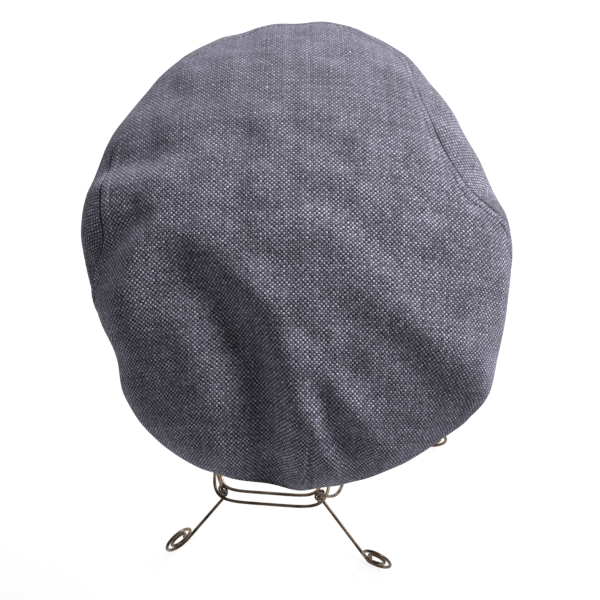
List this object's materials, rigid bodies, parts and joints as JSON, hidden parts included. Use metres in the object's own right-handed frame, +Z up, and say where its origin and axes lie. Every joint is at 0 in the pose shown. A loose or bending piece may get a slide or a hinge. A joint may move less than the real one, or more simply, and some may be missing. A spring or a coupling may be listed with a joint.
{
  "type": "flat cap on wire hat stand",
  "caption": "Soft tweed flat cap with a draped crown, two side panels and a short peak, resting on a plain wire hat stand with scroll feet.",
  "frame": {"origin": "middle of the bounding box in plan, on the surface that the stand rests on", "axes": "+Z up; the cap's peak points to -Y, and +X is to the right for someone who faces the peak"},
  "size_m": [0.2454, 0.2688, 0.363],
  "materials": {
    "tweed": "matte plain weave",
    "peak_tweed": "matte plain weave",
    "steel_wire": "browned"
  },
  "bodies": {
    "root": {"crown_top": "tweed", "side_panel_left": "tweed", "side_panel_right": "tweed", "peak": "peak_tweed", "dome_wire_over": "steel_wire", "dome_wire_under": "steel_wire", "ring_outer": "steel_wire", "ring_inner": "steel_wire", "leg_front_left": "steel_wire", "leg_front_right": "steel_wire", "leg_back_right": "steel_wire", "leg_back_left": "steel_wire", "binding_front_left": "steel_wire", "binding_front_right": "steel_wire", "binding_back_right": "steel_wire", "binding_back_left": "steel_wire"}
  },
  "joints": []
}
